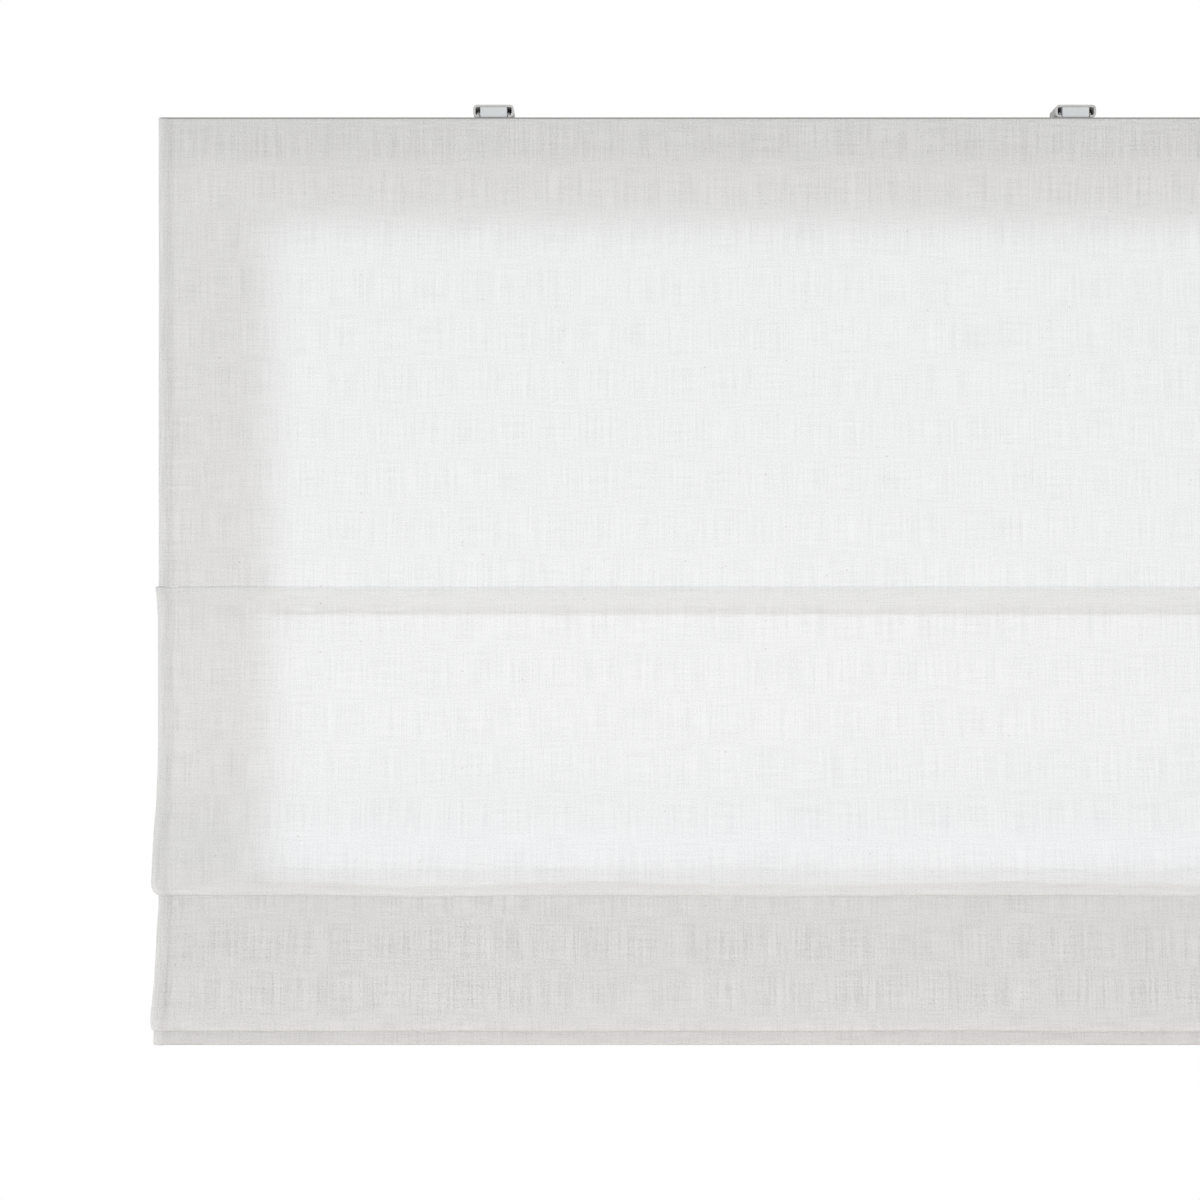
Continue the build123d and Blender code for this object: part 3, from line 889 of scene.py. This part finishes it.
topShape = {
    "path": ((-0.0330, 0.0149), (-0.0332, 0.0152), (-0.0336, 0.0149), (-0.0338, 0.0130), (-0.0337, -0.0100),
             (-0.0335, -0.0600), (-0.0334, -0.2000), (-0.0334, -0.3300), (-0.0335, -0.3565), (-0.0335, -0.3575),
             (-0.0333, -0.3580)),
    "calm": (0.060, 0.365),   # lengths where the ripple dies out
    "beforeTape": ((0.010, 0.0), (-0.002, 1.0), (-0.026, 0.7), (-0.075, 0.0)),
    "sink": (0.0146, 0.0022, -0.0011),     # past the tape's end: from the edge, width, how far forward
    "swell": (0.0246, 0.007, 0.0010),
    "pile": (120.0, 14.0, 3.0, 0.00025),   # the tape's own unevenness: noise scales, pattern, height
    "dent": ((0.0100, -0.3535), (0.0030, 0.0030), 0.0012),
}


def pushTop(across, edge, length, z):
    shaped = 0.0
    for centre, width, forward in (topShape["swell"], topShape["sink"]):
        shaped += forward * math.exp(-((edge - centre) / width) ** 2)
    wide, high, pattern, rough = topShape["pile"]
    shaped += rough * noise.noise(Vector((across * wide, z * high, pattern)))
    amount = ripple(across, length, *topShape["calm"], panel["ripple"])
    return amount + shaped * eased(z, topShape["beforeTape"]) + hollow(edge, z, topShape["dent"])


print("roman blind: top panel")
top = topShape["path"][0][1]
after = clothPiece("topPanel", smoothRoute(topShape["path"]), 0.0,
                   ("headrail", "lift_1", top, panel["firstSeam"]), "hung", (), pushTop)

frontShape = {
    "swell": -0.5775,         # below this the face hangs in front of the stack, at every height of it
    "face": ((-0.0333, -0.3580), (-0.0338, -0.3579), (-0.0343, -0.3584), (-0.0347, -0.3600), (-0.0350, -0.3660),
             (-0.0354, -0.4115), (-0.0368, -0.4705), (-0.0400, -0.5015), (-0.0462, -0.5315), (-0.0538, -0.5575),
             (-0.0590, -0.5775), (-0.0609, -0.5915), (-0.0609, -0.5979), (-0.0597, -0.6007), (-0.0569, -0.6019)),
    "back": ((-0.0569, -0.6019), (-0.0541, -0.6007), (-0.0529, -0.5979), (-0.0529, -0.5910), (-0.0529, -0.5825),
             (-0.0524, -0.5797), (-0.0512, -0.5790)),
    "edge": ((-0.3576, 0.0026), (-0.3605, 0.0022), (-0.3685, 0.0012), (-0.3844, 0.0004), (-0.4900, 0.0),
             (-0.5300, 0.0002), (-0.5525, 0.0011), (-0.5770, 0.0014), (-0.5920, 0.0017), (-0.5945, 0.0014),
             (-0.5975, 0.0003), (-0.6000, -0.0018), (-0.6019, -0.0055)),
    "calm": (0.380, 0.720),
    "ripple": 1.5 * panel["ripple"],
    "dent": ((0.0125, -0.3800), (0.0050, 0.0300), 0.0007),
}


def pushFront(across, edge, length, z):
    amount = ripple(across, length, *frontShape["calm"], frontShape["ripple"])
    return amount + hollow(edge, z, frontShape["dent"])


def frontFold(start):
    # down over the stack in two runs, then round the bottom and up behind to the second seam
    swell, bottom = frontShape["swell"], panel["foldBottom"]
    rise = seams[0][1] - bottom
    rows = smoothRoute(frontShape["face"])
    turn = next(index for index, row in enumerate(rows) if row[0].y < swell)
    lower = [(place, facing, along - rows[turn][2]) for place, facing, along in rows[turn:]]
    for name, run, join in (
            ("Face", rows[:turn + 1], ("lift_1", "lift_2", panel["firstSeam"], swell)),
            ("Swell", lower, ("lift_2", "lift_1", swell, 2 * bottom - swell)),
            ("Back", smoothRoute(frontShape["back"]), ("lift_1", "lift_2", bottom - rise, bottom + rise))):
        start = clothPiece("frontFold" + name, run, start, join, "folded", frontShape["edge"], pushFront)
    return start


print("roman blind: front fold")
after = frontFold(after)

loopShape = {
    "belly": (0.0066, 0.0030, 0.0009),     # how far each loop's bottom leans forward of its seam
    "depth": (0.0060, 0.0047, 0.0040),
    "bend": 0.0160,           # height above the bottom where the round begins
    "corner": 0.146,          # share of the depth at which the round stands at 45 degrees
    "lean": (0.45, -0.6500),  # share of the belly reached at a height on the face
    "gap": 0.0007,            # cloth's middle from the seam line, on face and back
    "pinch": ((0.0012, 0.0), (0.0004, 0.0005), (0.0006, -0.0012)),
    "straight": (0.0060, 0.0400),
    "backRise": (0.0400, 0.0040),
    "edge": (((-0.600, -0.0029), (-0.637, -0.0011), (-0.668, -0.0001), (-0.684, 0.0014), (-0.696, 0.0025),
              (-0.7038, 0.0028), (-0.7065, 0.0018), (-0.7080, 0.0002), (-0.7091, -0.0022)),
             ((-0.600, -0.0030), (-0.690, 0.0004), (-0.7091, -0.0012)),
             ((-0.600, -0.0030), (-0.690, 0.0004), (-0.7091, -0.0012))),
    "calm": (0.0, 0.9),
    "repeat": 0.2855,         # the ripple starts again after this length
    "ripple": 0.0007,
    "rippleFrom": ((-0.575, 0.0), (-0.640, 1.0)),
    "dent": ((0.0140, -0.6170), (0.0055, 0.0220), 0.0014),
}


def pushLoop(across, edge, length, z):
    amount = ripple(across, length % loopShape["repeat"], *loopShape["calm"], loopShape["ripple"])
    return amount * eased(z, loopShape["rippleFrom"]) + hollow(edge, z, loopShape["dent"])


def gatheredFold(number, start):
    # face down from one seam and back up to the next, round a level bottom
    (seamY, seamZ), (nextY, nextZ) = seams[number - 2:number]
    depth = loopShape["depth"][number - 2]
    front, low = seamY - loopShape["belly"][number - 2], panel["loopBottom"]
    bend, corner = loopShape["bend"], loopShape["corner"]
    faceY, backY = seamY + loopShape["gap"], nextY - loopShape["gap"]
    share, leanZ = loopShape["lean"]
    bottom = (front + depth / 2, low)
    face = [(seamY + inward, seamZ + rise) for inward, rise in loopShape["pinch"]]
    face += [(faceY, seamZ - drop) for drop in loopShape["straight"]]
    face += [(faceY - (faceY - front) * share, leanZ), (front, low + bend), (front, low + depth / 2),
             (front + depth * corner, low + depth * corner), bottom]
    back = [bottom, (front + depth * (1 - corner), low + depth * corner), (front + depth, low + depth / 2),
            (front + depth, low + bend)]
    back += [(backY, nextZ - drop) for drop in loopShape["backRise"]] + [(nextY, nextZ)]
    upper, lower = f"lift_{number}", f"lift_{number + 1}"
    shape = (loopShape["edge"][number - 2], pushLoop)
    start = clothPiece(f"fold{number}Face", smoothRoute(face), start, (upper,), "folded", *shape)
    join = (upper, lower, low, nextZ)
    return clothPiece(f"fold{number}Back", smoothRoute(back), start, join, "folded", *shape)


print("roman blind: gathered loops")
for number in range(2, 5):
    after = gatheredFold(number, after)

hemShape = {
    "skirt": -0.0404,         # the cloth's depth in front of the bar
    "back": -0.0353,          # and behind it
    "top": -0.7010,
    "pinch": ((0.0012, 0.0), (0.0003, 0.0003)),
    "straight": (0.0030, 0.0300),
    "round": ((0.0, 0.0024), (0.0005, 0.0007), (0.0017, 0.0)),      # in from the corner, up from the hem
    "turnedIn": (0.0030, 0.0012, 0.0026),  # below the hem's top, in from the faces, above it
    "tuckedIn": (0.0009, (0.0050, 0.0110)),
    "edge": ((-0.600, -0.0010), (-0.690, 0.0022), (-0.7215, 0.0032), (-0.7233, 0.0026)),
    "ripple": (11.0, 9.0, 0.0003),         # noise scales across and along, height
    "rippleFrom": ((-0.590, 0.0), (-0.650, 1.0)),
    "stitchUp": 0.0046,       # stitch line above the hem's top
    "stitchMargin": 0.004,
    "stitchOut": (0.0003, 0.0012),
}


def pushHem(across, edge, length, z):
    wide, high, rough = hemShape["ripple"]
    return rough * noise.noise(Vector((across * wide, 4.0, z * high))) * eased(z, hemShape["rippleFrom"])


def hemRoute():
    # down from the last seam, round under the bar, up behind it and in between the two layers
    skirt, rear, top, low = hemShape["skirt"], hemShape["back"], hemShape["top"], panel["hemBottom"]
    seamY, seamZ = seams[3]
    below, inside, above = hemShape["turnedIn"]
    tucked, heights = hemShape["tuckedIn"]
    route = [(seamY + inward, seamZ + rise) for inward, rise in hemShape["pinch"]]
    route += [(skirt, seamZ - drop) for drop in hemShape["straight"]] + [(skirt, top)]
    route += [(skirt + inward, low + up) for inward, up in hemShape["round"]]
    route += [(rear - inward, low + up) for inward, up in reversed(hemShape["round"])]
    route += [(rear, top - below), (rear - inside, top), (skirt + inside, top + above)]
    return route + [(skirt + tucked, top + height) for height in heights]


clothPiece("lastSection", smoothRoute(hemRoute()), after, ("lift_5",), "hung", hemShape["edge"], pushHem)


def hemStitching():
    mesh = bmesh.new()
    z = hemShape["top"] + hemShape["stitchUp"]
    out, inward = hemShape["stitchOut"]
    count = int((2 * panel["halfWidth"] - hemShape["stitchMargin"]) / stitch["step"])
    for index in range(count):
        x = (index - (count - 1) / 2) * stitch["step"]
        for y, outward in ((hemShape["skirt"] - out, -1), (hemShape["skirt"] + inward, 1)):
            addStitch(mesh, Vector((x, y, z)), Vector((1, 0, 0)), Vector((0, outward, 0)), stitch["length"])
    piece = finishedStitching("bottomHemStitching", mesh)
    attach(piece, "lift_5")
    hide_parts("fabric")


hemStitching()

tuckShape = {
    "sideInset": 0.0016,
    "sleeve": 0.0017,         # from the rod's centre to the cloth around it
    "wrap": (125, 90, 50, 0, -50, -90, -125),      # degrees round the rod
    "fromSeam": (0.0010, 0.0040),
    "layers": 0.0003,         # half the space between the two layers
    "openFrom": (0.0052, 0.0030, 0.0007),          # before the rod's centre, and how far apart by then
    "rodY": -0.0300,
    "rodZ": (-0.37855, -0.5793, -0.5833, -0.5873, -0.5913),
    "firstSeamY": -0.0330,
    "opening": 0.0065,        # half the gap at a cord guide
    "guideReach": 0.0042,
    "rowSpacing": 0.006,
    "columnSpacing": 0.014,
    "patternStep": 0.02,      # so that no two tucks show the same weave
}


def tuckColumns():
    inset, opening = tuckShape["sideInset"], tuckShape["opening"]
    width = 2 * panel["halfWidth"]
    marks = [inset]
    for centre in (panel["halfWidth"] - cordPlace, panel["halfWidth"] + cordPlace):
        marks += [centre - opening, centre + opening]
    marks.append(width - inset)
    places = []
    for start, end in zip(marks, marks[1:]):
        count = max(1, round((end - start) / tuckShape["columnSpacing"]))
        places += [start + (end - start) * i / count for i in range(count)]
    return places + [marks[-1]]


def rodTuck(number):
    # the stitched pocket: down from the seam, round the rod and back, with openings at the cord guides
    rodY, rodZ = tuckShape["rodY"], tuckShape["rodZ"][number - 1]
    seamY, seamZ = (tuckShape["firstSeamY"], panel["firstSeam"]) if number == 1 else seams[number - 2]
    away = Vector((rodY - seamY, rodZ - seamZ))
    reach = away.length
    away.normalize()
    across = Vector((away.y, -away.x))
    radius, half = tuckShape["sleeve"], tuckShape["layers"]
    parting, parted, apart = tuckShape["openFrom"]
    turns = [math.radians(angle) for angle in tuckShape["wrap"]]
    near = [(run, half) for run in tuckShape["fromSeam"]] + [(reach - parting, half), (reach - parted, apart)]
    around = [(reach + radius * math.cos(angle), radius * math.sin(angle)) for angle in turns]
    local = near + around + [(run, -side) for run, side in reversed(near)]
    points = [Vector((seamY, seamZ)) + away * run + across * side for run, side in local]
    rows = smoothRoute([tuple(point) for point in points], tuckShape["rowSpacing"])

    def atGuide(centre):
        beside = abs(abs(centre.x) - cordPlace) < tuckShape["opening"]
        return beside and math.dist(centre.yz, (rodY, rodZ)) < tuckShape["guideReach"]

    piece = makeSheet(f"rodTuck{number}", rows, tuckColumns(), finish["tuckLinen"],
                      tuckShape["patternStep"] * number, skip=atGuide)
    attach(piece, f"lift_{number}")
    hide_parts("fabric")


print("roman blind: rod tucks")
for number in range(1, 6):
    rodTuck(number)

stageFloor()
lightWorld()
lightStudio()
placeCamera()
bpy.context.scene.view_settings.view_transform = "Standard"

print("roman blind: done")
